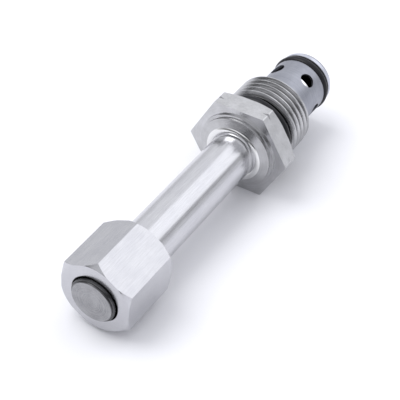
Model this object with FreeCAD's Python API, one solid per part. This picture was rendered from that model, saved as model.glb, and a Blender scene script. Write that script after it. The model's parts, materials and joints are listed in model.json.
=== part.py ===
import FreeCAD, Part
import math
import os

# Screw-in solenoid cartridge valve without its coil: two-way, normally closed, pull type.
# Millimetres. The valve's axis is X: the nose points to +X, the coil nut is at -X.
# Stations along X count from a plane that lies SEAT_X behind the hexagon's seating face. At the
# end every solid is moved back by SEAT_X: the origin is then the centre of the seating face.
# A flat of the body hexagon faces -Z.

# ---- driving dimensions ----
HEX_AF = 25.4              # body hexagon across flats
HEX_BACK = -5.2
HEX_CORNER_R = 14.6
SEAT_X = 0.7               # the hexagon's seating face
SEAT_R = 12.9              # where the corner chamfer meets the seating face
SEAT_CHAMFER = 0.85
THREAD_MAJOR_R = 11.1      # 7/8-14 UNF
THREAD_PITCH = 25.4 / 14
THREAD_START = 5.5
THREAD_END = 14.9
THREAD_DEPTH = 0.6134 * THREAD_PITCH
THREAD_PHASE_DEG = 242     # turn of the helix about +X
BOSS_R = 11.0              # stepped boss behind the hexagon
BOSS_STEP_R = 10.3
BOSS_BACK = -7.4
BRAZE_R = 8.1              # braze fillet round the tube
BRAZE_BACK = -6.8
TUBE_R = 6.35
TUBE_BORE_R = 5.0
TUBE_BACK = -57.0          # the tube's outer end, under the coil nut
TUBE_FRONT = -1.0          # the tube's inner end, in the adapter
NUT_AF = 19.05             # coil nut across flats
NUT_BACK = -69.18
NUT_FRONT = -51.38
POST_R = 6.14              # threaded end post, 1/2-20 UNF, drawn at its major radius
POST_END = -70.5
POLE_FACE = -32.0          # inner face of the pole piece
STROKE = 2.4               # armature travel
CAGE_R = 8.1
CAGE_END = 33.4
CAGE_BORE_R = 7.1
CAGE_BACK = 7.0            # bottom of the adapter's socket, where the cage is pressed in
PORT_X = 23.9              # side ports
PORT_R = 2.1
PORT_COUNT = 5
PORT_FIRST_DEG = -37.7     # from +Z towards +Y
GROOVE_BACK = 28.4         # nose seal groove
GROOVE_FRONT = 31.2
GROOVE_R = 6.1
NOSE_BORE_R = 4.2
SEAT_BACK = 26.2           # pressed-in seat ring
SEAT_FRONT = 27.6
SEAT_HOLE_R = 4.0          # sealing edge on the seat ring
POPPET_BACK = 10.5
POPPET_EDGE = 23.85        # front edge of the poppet's land
SEAL_BACK = 18.0           # groove for the poppet's seal ring
SEAL_FRONT = 19.2
SEAL_R = 6.4
SNAP_BACK = 11.9           # groove for the ring that holds the pin's foot
SNAP_FRONT = 12.6
SNAP_R = 3.3
BLEED_R = 0.6              # bleed hole through the poppet
BLEED_OFFSET = 5.45        # its distance from the axis
FIT = 0.05                 # running gap between a moving piece and its guide

AXIS_X = FreeCAD.Vector(1, 0, 0)
ORIGIN = FreeCAD.Vector(0, 0, 0)


# ---- shape helpers ----
def point(x, r):
    return FreeCAD.Vector(x, 0, r)


def turned(profile):
    """Solid of revolution about X from a closed outline of (x, radius) points."""
    outline = Part.makePolygon([point(x, r) for x, r in profile + profile[:1]])
    return Part.Face(outline).revolve(ORIGIN, AXIS_X, 360)


def ring(x0, x1, r_in, r_out):
    return turned([(x0, r_in), (x1, r_in), (x1, r_out), (x0, r_out)])


def rod(x0, x1, r):
    return Part.makeCylinder(r, x1 - x0, point(x0, 0), AXIS_X)


def radial_drill(x, r, angle_deg, depth):
    """Round drill from the axis outwards; the angle runs from +Z towards +Y."""
    angle = math.radians(angle_deg)
    outwards = FreeCAD.Vector(0, math.sin(angle), math.cos(angle))
    return Part.makeCylinder(r, depth, point(x, 0), outwards)


def hex_bar(across_flats, x0, x1, turn_deg):
    """Hexagonal bar along X; turn_deg places a corner, from -Z towards +Y."""
    corner_r = across_flats / math.sqrt(3)
    corners = []
    for k in range(7):
        angle = math.radians(turn_deg + 60 * k)
        corners.append(FreeCAD.Vector(x0, corner_r * math.sin(angle), -corner_r * math.cos(angle)))
    return Part.Face(Part.makePolygon(corners)).extrude(AXIS_X * (x1 - x0))


def torus(x, centre_r, wire_r):
    return Part.makeTorus(centre_r, wire_r, point(x, 0), AXIS_X)


def coil_spring(x0, x1, mean_r, wire_r, half_turns):
    """Open helical spring, joined from half turns, whose wire's centre runs wire_r inside x0 and x1."""
    rise = (x1 - x0 - 2 * wire_r) / half_turns
    lead = FreeCAD.Vector(0, math.pi * mean_r, rise)
    pieces = []
    for k in range(half_turns):
        path = Part.makeHelix(2 * rise, rise, mean_r)
        section = Part.Wire(Part.makeCircle(wire_r, FreeCAD.Vector(mean_r, 0, 0), lead))
        piece = Part.Wire(path.Edges).makePipeShell([section], True, True)
        piece.rotate(ORIGIN, FreeCAD.Vector(0, 0, 1), 180 * k)
        piece.translate(FreeCAD.Vector(0, 0, rise * k))
        pieces.append(piece)
    spring = pieces[0].multiFuse(pieces[1:])
    spring.rotate(ORIGIN, FreeCAD.Vector(0, 1, 0), 90)
    spring.translate(point(x0 + wire_r, 0))
    return spring


def cut_thread(blank, x0, x1, crest_r, depth, pitch):
    """Cut a helical V groove with a flat root, in a frame whose Z is the valve's axis."""
    overcut = 0.2
    half_crest = 7 / 16 * pitch
    half_root = 1 / 8 * pitch
    half_outer = half_crest + overcut * (half_crest - half_root) / depth
    path = Part.makeHelix(pitch, x1 - x0, crest_r)
    path.translate(FreeCAD.Vector(0, 0, x0))
    corners = [
        (crest_r - depth, -half_root), (crest_r - depth, half_root),
        (crest_r + overcut, half_outer), (crest_r + overcut, -half_outer),
    ]
    section = Part.makePolygon([FreeCAD.Vector(r, 0, x0 + z) for r, z in corners + corners[:1]])
    groove = Part.Wire(path.Edges).makePipeShell([section], True, True)
    axis_y = FreeCAD.Vector(0, 1, 0)
    blank.rotate(ORIGIN, axis_y, -90)
    blank.rotate(ORIGIN, FreeCAD.Vector(0, 0, 1), 180)
    threaded = blank.cut(groove)
    threaded.rotate(ORIGIN, axis_y, 90)
    return threaded


# ---- fixed body ----
def adapter_body():
    """Hexagon, stepped boss, seal undercut and external thread, bored for tube and cage."""
    undercut_r = 8.35
    passage_r = 3.6
    thread_chamfer = 0.65
    blank = turned([
        (TUBE_FRONT, passage_r), (TUBE_FRONT, TUBE_R), (BRAZE_BACK, TUBE_R),
        (BRAZE_BACK, BRAZE_R), (BOSS_BACK, BRAZE_R), (-6.5, BOSS_STEP_R), (-5.85, BOSS_STEP_R),
        (-5.75, BOSS_R), (SEAT_X, BOSS_R), (SEAT_X, undercut_r), (THREAD_START, undercut_r),
        (THREAD_START, THREAD_MAJOR_R - thread_chamfer), (THREAD_START + 0.25, THREAD_MAJOR_R),
        (THREAD_END - thread_chamfer, THREAD_MAJOR_R),
        (THREAD_END, THREAD_MAJOR_R - thread_chamfer), (THREAD_END, CAGE_R),
        (CAGE_BACK, CAGE_R), (CAGE_BACK, passage_r),
    ])
    run_in, run_out = THREAD_START - 2.9, THREAD_END + 1.0
    blank = cut_thread(blank, run_in, run_out, THREAD_MAJOR_R, THREAD_DEPTH, THREAD_PITCH)
    blank.rotate(ORIGIN, AXIS_X, THREAD_PHASE_DEG)
    return blank.fuse(hex_flange()).removeSplitter()


def hex_flange():
    """Hexagon with its front corners chamfered and a small identification notch on each corner."""
    hub_r = 9.0
    envelope = turned([
        (HEX_BACK, hub_r), (HEX_BACK, HEX_CORNER_R), (SEAT_X - SEAT_CHAMFER, HEX_CORNER_R),
        (SEAT_X, SEAT_R), (SEAT_X, hub_r),
    ])
    notch_x, notch_half, notch_r = HEX_BACK / 2, 0.45, 13.9
    corner_notch = turned([
        (notch_x, notch_r), (notch_x - notch_half, HEX_CORNER_R + 0.1),
        (notch_x + notch_half, HEX_CORNER_R + 0.1),
    ])
    return hex_bar(HEX_AF, HEX_BACK, SEAT_X, 30).common(envelope).cut(corner_notch)


def guide_tube():
    return ring(TUBE_BACK, TUBE_FRONT, TUBE_BORE_R, TUBE_R)


def braze_ring():
    """Rounded bead that fills the corner between tube and boss."""
    crown = point(BOSS_BACK - 0.45, TUBE_R + 0.75)
    foot = point(BOSS_BACK - 0.3, TUBE_R)
    corners = [
        foot, point(BRAZE_BACK, TUBE_R), point(BRAZE_BACK, BRAZE_R), point(BOSS_BACK, BRAZE_R),
    ]
    edges = Part.makePolygon(corners).Edges + [Part.Arc(corners[-1], crown, foot).toShape()]
    return Part.Face(Part.Wire(edges)).revolve(ORIGIN, AXIS_X, 360)


def pole_piece():
    """Fixed core: threaded end post, welded flange and a long core with the spring pocket."""
    pocket_r = 2.3
    core_r = TUBE_BORE_R
    flange_back = TUBE_BACK - 3.0
    return turned([
        (POST_END, 0), (POST_END, 5.6), (POST_END + 0.1, 5.7), (POST_END + 0.4, 5.72),
        (POST_END + 0.45, 6.0), (POST_END + 0.6, POST_R), (flange_back, POST_R),
        (flange_back, TUBE_R), (TUBE_BACK, TUBE_R), (TUBE_BACK, core_r),
        (POLE_FACE, core_r), (POLE_FACE, pocket_r), (POLE_FACE - 6.0, pocket_r),
        (POLE_FACE - 6.0, 0),
    ])


def air_gap_shim():
    return ring(POLE_FACE, POLE_FACE + 0.2, 2.6, 4.6)


def cage():
    """Ported sleeve with the nose seal groove and end rim."""
    rim_long, rim_deep = 1.1, 0.45
    mouth_chamfer = 0.7
    sleeve = turned([
        (CAGE_BACK, CAGE_BORE_R), (CAGE_BACK, CAGE_R), (GROOVE_BACK, CAGE_R),
        (GROOVE_BACK, GROOVE_R), (GROOVE_FRONT, GROOVE_R), (GROOVE_FRONT, CAGE_R),
        (CAGE_END - rim_long, CAGE_R), (CAGE_END - rim_long / 5, CAGE_R - rim_deep),
        (CAGE_END, CAGE_R - 1.5 * rim_deep), (CAGE_END, NOSE_BORE_R + mouth_chamfer),
        (CAGE_END - mouth_chamfer, NOSE_BORE_R), (SEAT_FRONT, NOSE_BORE_R),
        (SEAT_FRONT, CAGE_BORE_R),
    ])
    for k in range(PORT_COUNT):
        angle = PORT_FIRST_DEG + 360 / PORT_COUNT * k
        sleeve = sleeve.cut(radial_drill(PORT_X, PORT_R, angle, CAGE_R + 1))
    return sleeve


def valve_seat():
    """Hardened ring pressed against the shoulder in the cage."""
    throat_r = 3.4
    return turned([
        (SEAT_BACK, SEAT_HOLE_R), (SEAT_BACK, CAGE_BORE_R), (SEAT_FRONT, CAGE_BORE_R),
        (SEAT_FRONT, throat_r), (SEAT_BACK + SEAT_HOLE_R - throat_r, throat_r),
    ])


def face_oring():
    wire_r, outer_r, gap = 1.31, 11.0, 0.22
    return torus(THREAD_START - gap - wire_r, outer_r - wire_r, wire_r)


def nose_oring():
    wire_r = 1.2
    return torus(GROOVE_BACK + wire_r, GROOVE_R + FIT + wire_r, wire_r)


def nose_backup_ring():
    return ring(GROOVE_FRONT - 0.38, GROOVE_FRONT, GROOVE_R, CAGE_R + FIT)


# ---- armature and pilot ----
def armature():
    """Magnetic plunger with a spring pocket behind, a pilot pocket in front and oil slots."""
    back = POLE_FACE + 0.25 + STROKE
    front = -5.0
    pocket_r = 2.3
    outer_r = TUBE_BORE_R - FIT
    plunger = turned([
        (back, pocket_r), (back, outer_r - 0.3), (back + 0.3, outer_r), (front - 0.3, outer_r),
        (front, outer_r - 0.3), (front, pocket_r), (-17.0, pocket_r), (-17.0, 0), (-24.0, 0),
        (-24.0, pocket_r),
    ])
    slot_wide, slot_deep = 1.2, 0.9
    for side in (1, -1):
        low = -outer_r if side < 0 else outer_r - slot_deep
        slot = Part.makeBox(front - back, slot_wide, slot_deep,
                            FreeCAD.Vector(back, -slot_wide / 2, low))
        plunger = plunger.cut(slot)
    return plunger


def armature_spring():
    return coil_spring(POLE_FACE - 6.0, -24.0, 1.9, 0.25, 18)


def pilot_spring():
    return coil_spring(-17.0, -9.6, 1.6, 0.2, 14)


def pin_guide_bush():
    return ring(-8.5, -5.2, 1.27, 2.3)


def pilot_pin():
    """Pin with a head in the armature and a foot that lifts the poppet."""
    shank_r = 1.2
    return turned([
        (-9.6, 0), (-9.6, 2.0), (-8.6, 2.0), (-8.6, shank_r), (13.4, shank_r), (13.4, 2.2),
        (14.4, 2.2), (14.4, shank_r), (15.93, shank_r), (16.68, 0.45), (16.68, 0),
    ])


# ---- main poppet ----
def main_poppet():
    """Sliding land with a seal groove, a seat cone, and a pocket that ends in the pilot hole."""
    outer_r = CAGE_BORE_R - FIT
    edge_break = 0.15
    pocket_r, pocket_end = 2.9, 16.0
    pilot_r, pilot_mouth_r = 0.6, 1.2
    neck_r = 4.6
    seat_gap = 0.07
    cone_back = SEAT_BACK + SEAT_HOLE_R - seat_gap - neck_r
    cone_long = 1.8
    body = turned([
        (POPPET_BACK, pocket_r), (POPPET_BACK, outer_r - edge_break),
        (POPPET_BACK + edge_break, outer_r), (SEAL_BACK, outer_r), (SEAL_BACK, SEAL_R),
        (SEAL_FRONT, SEAL_R), (SEAL_FRONT, outer_r), (POPPET_EDGE - edge_break, outer_r),
        (POPPET_EDGE, outer_r - edge_break), (POPPET_EDGE, neck_r), (cone_back, neck_r),
        (cone_back + cone_long, neck_r - cone_long), (cone_back + cone_long, pilot_r),
        (pocket_end + pilot_mouth_r - pilot_r, pilot_r), (pocket_end, pilot_mouth_r),
        (pocket_end, pocket_r), (SNAP_FRONT, pocket_r), (SNAP_FRONT, SNAP_R),
        (SNAP_BACK, SNAP_R), (SNAP_BACK, pocket_r),
    ])
    return body.cut(bleed_rod(POPPET_BACK, POPPET_EDGE, BLEED_R))


def bleed_rod(x0, x1, r):
    """Rod along the bleed hole's axis."""
    return Part.makeCylinder(r, x1 - x0, FreeCAD.Vector(x0, BLEED_OFFSET, 0), AXIS_X)


def poppet_seal_ring():
    return ring(SEAL_BACK + FIT, SEAL_FRONT - FIT, SEAL_R, CAGE_BORE_R - 0.03)


def pin_snap_ring():
    """Open ring in the poppet's pocket that holds the pin's foot."""
    gap_wide = 1.2
    gap = Part.makeBox(1, 2 * SNAP_R, gap_wide, FreeCAD.Vector(SNAP_BACK, 0, -gap_wide / 2))
    return ring(SNAP_BACK, SNAP_FRONT, 1.6, SNAP_R).cut(gap)


def bleed_orifice():
    return bleed_rod(20.0, 22.5, BLEED_R).cut(bleed_rod(20.0, 22.5, 0.25))


def bleed_screen():
    """Strainer disc with a ring of fine holes."""
    back, front = 22.5, 22.8
    disc = bleed_rod(back, front, BLEED_R)
    hole_r, hole_count, spread = 0.1, 6, 0.35
    for k in range(hole_count):
        hole = bleed_rod(back, front, hole_r)
        angle = math.radians(360 / hole_count * k)
        hole.translate(FreeCAD.Vector(0, spread * math.sin(angle), spread * math.cos(angle)))
        disc = disc.cut(hole)
    return disc


def poppet_spring():
    return coil_spring(CAGE_BACK, POPPET_BACK, 4.2, 0.3, 5)


# ---- coil nut ----
def coil_nut():
    """Long hexagon nut with both ends chamfered, bored for the post, tube and its seal."""
    face_r, chamfer_long, corner_r = 9.7, 1.15, NUT_AF / math.sqrt(3)
    bore_r = POST_R + 0.07
    mouth_r, tube_clear_r, seal_r = 6.52, 6.65, 8.4
    shoulder_x, seal_deep = -60.3, 2.2
    envelope = turned([
        (NUT_BACK, mouth_r), (NUT_BACK, face_r), (NUT_BACK + chamfer_long, corner_r),
        (NUT_FRONT - chamfer_long, corner_r), (NUT_FRONT, face_r), (NUT_FRONT, seal_r),
        (NUT_FRONT - seal_deep, seal_r), (NUT_FRONT - seal_deep, tube_clear_r),
        (shoulder_x, tube_clear_r), (shoulder_x, bore_r), (NUT_BACK + 1.4, bore_r),
        (NUT_BACK + 1.0, mouth_r),
    ])
    return hex_bar(NUT_AF, NUT_BACK, NUT_FRONT, 5.0).common(envelope)


def nut_seal():
    return torus(NUT_FRONT - 1.15, 7.52, 0.82)


PIECES = [
    adapter_body, guide_tube, braze_ring, pole_piece, air_gap_shim, cage, valve_seat,
    face_oring, nose_oring, nose_backup_ring, armature, armature_spring, pilot_spring,
    pin_guide_bush, pilot_pin, main_poppet, poppet_seal_ring, pin_snap_ring, bleed_orifice,
    bleed_screen, poppet_spring, coil_nut, nut_seal,
]

os.makedirs("parts", exist_ok=True)
for piece in PIECES:
    shape = piece().Solids[0]
    shape.translate(AXIS_X * -SEAT_X)
    name = piece.__name__
    print(name, shape.isValid(), round(shape.Volume, 2))
    shape.exportStep(os.path.join("parts", name + ".step"))
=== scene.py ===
"""Looks of the screw-in solenoid cartridge valve. Metres, in the frame of the CAD part."""
import json
import math

import bpy
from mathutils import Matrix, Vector


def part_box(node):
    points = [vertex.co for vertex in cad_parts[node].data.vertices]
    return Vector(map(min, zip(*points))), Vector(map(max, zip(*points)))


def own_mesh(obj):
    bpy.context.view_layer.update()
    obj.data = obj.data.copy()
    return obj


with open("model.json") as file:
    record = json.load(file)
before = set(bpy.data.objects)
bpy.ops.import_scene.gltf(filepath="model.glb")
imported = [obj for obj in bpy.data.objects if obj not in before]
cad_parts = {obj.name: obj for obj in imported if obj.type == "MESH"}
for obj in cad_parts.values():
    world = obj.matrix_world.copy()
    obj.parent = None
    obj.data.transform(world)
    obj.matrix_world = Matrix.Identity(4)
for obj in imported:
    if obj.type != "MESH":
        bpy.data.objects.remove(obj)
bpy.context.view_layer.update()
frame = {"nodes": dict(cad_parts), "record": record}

MM = 0.001
NODES = frame["nodes"]


# ---- node helpers ----
class Nodes:
    """Short calls for building one material's node tree."""

    def __init__(self, name):
        self.material = bpy.data.materials.new(name)
        self.material.use_nodes = True
        self.tree = self.material.node_tree
        self.shader = self.tree.nodes["Principled BSDF"]

    def new(self, kind, **settings):
        node = self.tree.nodes.new(kind)
        for key, value in settings.items():
            setattr(node, key, value)
        return node

    def link(self, output, socket):
        self.tree.links.new(output, socket)

    def put(self, value, socket):
        if isinstance(value, bpy.types.NodeSocket):
            self.link(value, socket)
        else:
            socket.default_value = value

    def math(self, operation, a, b=0.0):
        node = self.new("ShaderNodeMath", operation=operation)
        self.put(a, node.inputs[0])
        self.put(b, node.inputs[1])
        return node.outputs[0]

    def place(self):
        """x along the valve, radius from its axis, and the raw position, in millimetres."""
        coords = self.new("ShaderNodeTexCoord").outputs["Object"]
        scaled = self.new("ShaderNodeVectorMath", operation="SCALE")
        self.link(coords, scaled.inputs[0])
        scaled.inputs["Scale"].default_value = 1 / MM
        parts = self.new("ShaderNodeSeparateXYZ")
        self.link(scaled.outputs[0], parts.inputs[0])
        x, y, z = parts.outputs
        square = self.math("ADD", self.math("MULTIPLY", y, y), self.math("MULTIPLY", z, z))
        return x, y, z, self.math("SQRT", square)

    def vector(self, x, y, z=0.0):
        node = self.new("ShaderNodeCombineXYZ")
        for value, socket in zip((x, y, z), node.inputs):
            self.put(value, socket)
        return node.outputs[0]

    def noise(self, vector, scale, detail=3.0, rough=0.55):
        node = self.new("ShaderNodeTexNoise")
        self.link(vector, node.inputs["Vector"])
        node.inputs["Scale"].default_value = scale
        node.inputs["Detail"].default_value = detail
        node.inputs["Roughness"].default_value = rough
        return node.outputs["Fac"]

    def span(self, value, low, high, out_low, out_high):
        node = self.new("ShaderNodeMapRange")
        self.link(value, node.inputs["Value"])
        for name, number in zip(("From Min", "From Max", "To Min", "To Max"),
                                (low, high, out_low, out_high)):
            node.inputs[name].default_value = number
        return node.outputs["Result"]

    def mix(self, factor, colour_a, colour_b):
        node = self.new("ShaderNodeMix", data_type="RGBA")
        self.put(factor, node.inputs["Factor"])
        for value, socket in ((colour_a, node.inputs["A"]), (colour_b, node.inputs["B"])):
            self.put(value if isinstance(value, bpy.types.NodeSocket) else (*value, 1.0), socket)
        return node.outputs["Result"]

    def scaled(self, colour, factor):
        node = self.new("ShaderNodeVectorMath", operation="SCALE")
        self.link(colour, node.inputs[0])
        self.link(factor, node.inputs["Scale"])
        return node.outputs[0]

    def bump(self, height, strength, distance):
        node = self.new("ShaderNodeBump")
        self.link(height, node.inputs["Height"])
        node.inputs["Strength"].default_value = strength
        node.inputs["Distance"].default_value = distance
        self.link(node.outputs["Normal"], self.shader.inputs["Normal"])


# ---- materials ----
# Each painted-light function gives a factor on the base colour, from x and the radius in millimetres:
# painted shade in bores, roots and grooves, painted highlight on crests and rims.
BUMP_DEPTH = 0.02 * MM
NOISE_CORE = (0.3, 0.7)         # where most values of a noise lie
STAIN_CORE = (0.35, 0.65)


def thread_painted_shade_and_highlight(n, x, radius):
    """Painted shade, with some oil, darkens the thread's roots and the undercut in front of the seating
    face; painted highlight lightens the crests and beyond.
    """
    return n.math("MAXIMUM", n.span(radius, 9.95, 10.95, 0.34, 1.12), n.span(x, -0.4, 0.3, 1.0, 0.0))


def cage_painted_shade_and_highlight(n, x, radius):
    """Painted shade darkens the bore and groove, and a painted highlight brightens the rim in front of the
    groove.
    """
    rim_painted_highlight = n.math("MULTIPLY", n.span(x, 30.4, 30.5, 0.0, 1.7), n.span(radius, 7.95, 8.08, 0.62, 1.0))
    return n.math("MAXIMUM", n.span(radius, 7.2, 8.0, 0.10, 1.0), rim_painted_highlight)


def poppet_painted_shade(n, x, radius):
    """Painted shade: hardened pieces are dark inside the cage, except for the edge of the poppet's land."""
    return n.span(radius, 6.4, 6.95, 0.05, 1.0)


def nut_bore_painted_shade(n, x, radius):
    """Painted shade darkens the bore of the coil nut."""
    return n.span(radius, 6.40, 6.7, 0.45, 1.0)


def post_chamfer_painted_shade(n, x, radius):
    """Painted shade darkens the chamfer round the post's end face."""
    return n.span(radius, 5.5, 5.75, 1.0, 0.30)


def clean(n, x, radius):
    """No grime, only a hint of darkening towards the axis."""
    return n.span(radius, 0.0, 20.0, 0.97, 1.0)


def turned_steel(name, colour, tint, rough, marks=0.25, mark_pitch=7.0, painted_light=clean):
    """Lathe-turned metal: fine rings round the axis, soft stains, and uneven sheen."""
    n = Nodes(name)
    x, y, z, radius = n.place()
    rings = n.noise(n.vector(x, radius), mark_pitch, detail=4.0, rough=0.7)
    stains = n.noise(n.vector(x, y, z), 0.35, detail=4.0)
    specks = n.noise(n.vector(x, y, z), 6.0, detail=2.0)
    base = n.mix(n.span(stains, *STAIN_CORE, 0.0, 1.0), colour, tint)
    # Turning streaks, with the painted shade and highlight of the part, scale the base colour.
    streaks_and_painted_light = n.math("MULTIPLY", n.span(rings, *NOISE_CORE, 0.80, 1.12), painted_light(n, x, radius))
    n.link(n.scaled(base, streaks_and_painted_light), n.shader.inputs["Base Color"])
    uneven = n.math("ADD", n.span(rings, *NOISE_CORE, -0.05, 0.05), n.span(specks, *NOISE_CORE, -0.03, 0.03))
    n.link(n.math("ADD", uneven, rough), n.shader.inputs["Roughness"])
    n.shader.inputs["Metallic"].default_value = 1.0
    n.bump(rings, marks, BUMP_DEPTH)
    return n.material


def drawn_steel(name, colour, tint, rough, grain=0.2, painted_light=clean):
    """Drawn or ground bar: faint grain along the axis."""
    n = Nodes(name)
    x, y, z, radius = n.place()
    lines = n.noise(n.vector(n.math("MULTIPLY", x, 0.03), y, z), 7.0, detail=4.0, rough=0.7)
    stains = n.noise(n.vector(x, y, z), 0.25, detail=4.0)
    base = n.mix(n.span(stains, *STAIN_CORE, 0.0, 1.0), colour, tint)
    # Grain lines, with the painted shade of the part, scale the base colour.
    streaks_and_painted_light = n.math("MULTIPLY", n.span(lines, *NOISE_CORE, 0.88, 1.06), painted_light(n, x, radius))
    n.link(n.scaled(base, streaks_and_painted_light), n.shader.inputs["Base Color"])
    n.link(n.math("ADD", n.span(lines, *NOISE_CORE, -0.05, 0.05), rough), n.shader.inputs["Roughness"])
    n.shader.inputs["Metallic"].default_value = 1.0
    n.bump(lines, grain, BUMP_DEPTH)
    return n.material


def rubber(name, colour, rough):
    """Moulded rubber, slightly oily, with a dusty bloom."""
    n = Nodes(name)
    x, y, z, _ = n.place()
    bloom = n.noise(n.vector(x, y, z), 1.2, detail=4.0)
    grain = n.noise(n.vector(x, y, z), 14.0, detail=2.0)
    lighter = tuple(1.7 * c for c in colour)
    n.link(n.mix(n.span(bloom, 0.35, 0.7, 0.0, 1.0), colour, lighter), n.shader.inputs["Base Color"])
    n.link(n.math("ADD", n.span(bloom, *NOISE_CORE, -0.06, 0.08), rough), n.shader.inputs["Roughness"])
    n.shader.inputs["Specular IOR Level"].default_value = 0.22
    n.bump(grain, 0.15, BUMP_DEPTH)
    return n.material


MATERIALS = {
    "zinc_steel": turned_steel("zinc_steel", (0.535, 0.535, 0.545), (0.46, 0.46, 0.465), 0.22,
                               painted_light=thread_painted_shade_and_highlight),
    "stainless": drawn_steel("stainless", (0.61, 0.61, 0.63), (0.585, 0.585, 0.61), 0.19, 0.12),
    "nut_steel": drawn_steel("nut_steel", (0.575, 0.575, 0.595), (0.54, 0.54, 0.565), 0.20,
                             painted_light=nut_bore_painted_shade),
    "cage_steel": turned_steel("cage_steel", (0.36, 0.37, 0.41), (0.31, 0.32, 0.36), 0.42,
                               painted_light=cage_painted_shade_and_highlight),
    "core_steel": turned_steel("core_steel", (0.38, 0.38, 0.39), (0.30, 0.30, 0.31), 0.26, 0.5, 4.0,
                               painted_light=post_chamfer_painted_shade),
    "hard_steel": turned_steel("hard_steel", (0.84, 0.84, 0.85), (0.78, 0.78, 0.80), 0.16, 0.1,
                               painted_light=poppet_painted_shade),
    "braze": turned_steel("braze", (0.82, 0.82, 0.82), (0.76, 0.76, 0.75), 0.18, 0.1),
    "spring_steel": turned_steel("spring_steel", (0.50, 0.50, 0.52), (0.42, 0.42, 0.44), 0.30),
    "brass": turned_steel("brass", (0.72, 0.54, 0.27), (0.62, 0.45, 0.22), 0.28),
    "black_rubber": rubber("black_rubber", (0.006, 0.006, 0.008), 0.34),
    "backup_plastic": rubber("backup_plastic", (0.03, 0.03, 0.033), 0.45),
}

for row in frame["record"]["subparts"]:
    mesh = NODES[row["node"]].data
    mesh.materials.clear()
    mesh.materials.append(MATERIALS[row["material_slot"]])


# ---- springs, each with a mesh of its own ----
# node, joint, fixed end along x, length at rest and travel, in millimetres
SPRINGS = (
    ("armature_spring", "armature_slide", -38.7, 14.0, 2.4),
    ("poppet_spring", "poppet_slide", 6.3, 3.5, 1.8),
)
for node, joint, fixed_end, length, travel in SPRINGS:
    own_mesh(NODES[node])


# ---- camera ----
AIM = Vector((-26.28, -1.20, -1.99)) * MM
AZIMUTH = math.radians(-57.8)
ELEVATION = math.radians(41.85)
DISTANCE = 296.3 * MM
SENSOR_WIDTH = 36
FOCAL_LENGTH = 104.87
back = Vector((
    math.sin(AZIMUTH) * math.cos(ELEVATION),
    -math.cos(AZIMUTH) * math.cos(ELEVATION),
    math.sin(ELEVATION),
))
camera_data = bpy.data.cameras.new("camera")
camera_data.sensor_width = SENSOR_WIDTH
camera_data.lens = FOCAL_LENGTH
camera_data.clip_start = 1 * MM
camera_data.clip_end = 10
camera = bpy.data.objects.new("camera", camera_data)
camera.location = AIM + back * DISTANCE
camera.rotation_mode = "QUATERNION"
camera.rotation_quaternion = (-back).to_track_quat("-Z", "Y")
bpy.context.scene.collection.objects.link(camera)
bpy.context.scene.camera = camera


# ---- floor, lights and surroundings ----
HEX_BACK = -5.9 * MM            # nut-side face of the body hexagon
NUT_CHAMFER = 1.15 * MM         # the nut's lowest point lies this far from its end face
FLOOR_HALF = 3.0
FLOOR_GAP = 0.02 * MM

# The tent's strength by direction. Ranges are in x, y or z of the unit direction.
TENT_RISE = (0.15, 0.5)         # z over which the tent brightens upwards
TENT_LOW = 0.88
TENT_TOP = 1.12
BEHIND_RANGE = (-0.75, -0.35)   # x of the dark gap behind the nut
BEHIND_HEIGHT = (0.25, 0.6)
DARK_BEHIND = 0.15
STRIP_LOW = (0.08, 0.30)        # z over which the grey strip towards -Y comes in and goes out
STRIP_HIGH = (0.36, 0.46)
STRIP_SIDE = (-0.75, -0.45)
DARK_SIDE = 0.6
SOFTBOX_TOWARDS = (0.63, -0.30, 0.65)
SOFTBOX_EDGE = (0.89, 0.92)     # cosine of the angle from its centre
SOFTBOX_GAIN = 1.42
TENT_COLOUR = (0.95, 0.96, 1.0, 1.0)


def floor():
    """Pale sheet that carries the body hexagon's lower flat and the coil nut's lowest corner."""
    hexagon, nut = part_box("adapter_body"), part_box("coil_nut")
    drop = nut[0].z - hexagon[0].z
    run = HEX_BACK - (nut[0].x + NUT_CHAMFER)
    slope = -drop / run
    low = hexagon[0].z - FLOOR_GAP
    corners = []
    for side_x, side_y in ((-1, -1), (1, -1), (1, 1), (-1, 1)):
        x = side_x * FLOOR_HALF
        corners.append((x, side_y * FLOOR_HALF, low + slope * (x - HEX_BACK)))
    mesh = bpy.data.meshes.new("floor")
    mesh.from_pydata(corners, [], [(0, 1, 2, 3)])
    sheet = bpy.data.objects.new("floor", mesh)
    bpy.context.scene.collection.objects.link(sheet)
    paper = Nodes("floor")
    paper.shader.inputs["Base Color"].default_value = (0.80, 0.80, 0.825, 1.0)
    paper.shader.inputs["Roughness"].default_value = 0.9
    paper.shader.inputs["Specular IOR Level"].default_value = 0.1
    mesh.materials.append(paper.material)


def area_light(name, direction, distance, size, energy):
    """Square soft light that shines on the valve from one direction."""
    data = bpy.data.lights.new(name, "AREA")
    data.size = size
    data.energy = energy
    lamp = bpy.data.objects.new(name, data)
    towards = Vector(direction).normalized()
    lamp.location = AIM + towards * distance
    lamp.rotation_mode = "QUATERNION"
    lamp.rotation_quaternion = (-towards).to_track_quat("-Z", "Y")
    bpy.context.scene.collection.objects.link(lamp)


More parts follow.
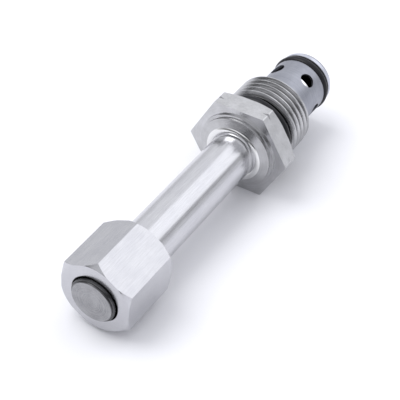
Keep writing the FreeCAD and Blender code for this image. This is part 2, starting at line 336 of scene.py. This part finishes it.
def surroundings():
    """Light tent by direction: brighter overhead, with a dark gap, a grey strip and a softbox."""
    world = bpy.data.worlds.new("tent")
    bpy.context.scene.world = world
    world.use_nodes = True
    tree = world.node_tree
    sky = tree.nodes["Background"]

    def ramp(value, low, high, out_low, out_high):
        node = tree.nodes.new("ShaderNodeMapRange")
        node.interpolation_type = "SMOOTHSTEP"
        tree.links.new(value, node.inputs["Value"])
        for name, number in zip(("From Min", "From Max", "To Min", "To Max"),
                                (low, high, out_low, out_high)):
            node.inputs[name].default_value = number
        return node.outputs["Result"]

    def combine(operation, first, second):
        node = tree.nodes.new("ShaderNodeMath")
        node.operation = operation
        tree.links.new(first, node.inputs[0])
        tree.links.new(second, node.inputs[1])
        return node.outputs[0]

    direction = tree.nodes.new("ShaderNodeTexCoord").outputs["Generated"]
    parts = tree.nodes.new("ShaderNodeSeparateXYZ")
    tree.links.new(direction, parts.inputs[0])
    x, y, z = parts.outputs
    height = ramp(z, *TENT_RISE, TENT_LOW, TENT_TOP)
    behind = combine("MAXIMUM", ramp(x, *BEHIND_RANGE, DARK_BEHIND, 1.0),
                     ramp(z, *BEHIND_HEIGHT, 0.0, 1.0))
    strip = combine("MINIMUM", ramp(z, *STRIP_LOW, 0.0, 1.0), ramp(z, *STRIP_HIGH, 1.0, 0.0))
    strip = combine("MULTIPLY", strip, ramp(y, *STRIP_SIDE, 1.0, 0.0))
    side = ramp(strip, 0.0, 1.0, 1.0, DARK_SIDE)
    facing = tree.nodes.new("ShaderNodeVectorMath")
    facing.operation = "DOT_PRODUCT"
    tree.links.new(direction, facing.inputs[0])
    facing.inputs[1].default_value = Vector(SOFTBOX_TOWARDS).normalized()
    box = ramp(facing.outputs["Value"], *SOFTBOX_EDGE, 1.0, SOFTBOX_GAIN)
    level = combine("MULTIPLY", combine("MULTIPLY", height, behind), side)
    level = combine("MULTIPLY", level, box)
    tree.links.new(level, sky.inputs["Strength"])
    sky.inputs["Color"].default_value = TENT_COLOUR


floor()
surroundings()
area_light("key", (-0.2, 0.7, 1.6), 0.9, 0.6, 4.0)
bpy.context.scene.view_settings.view_transform = "Standard"
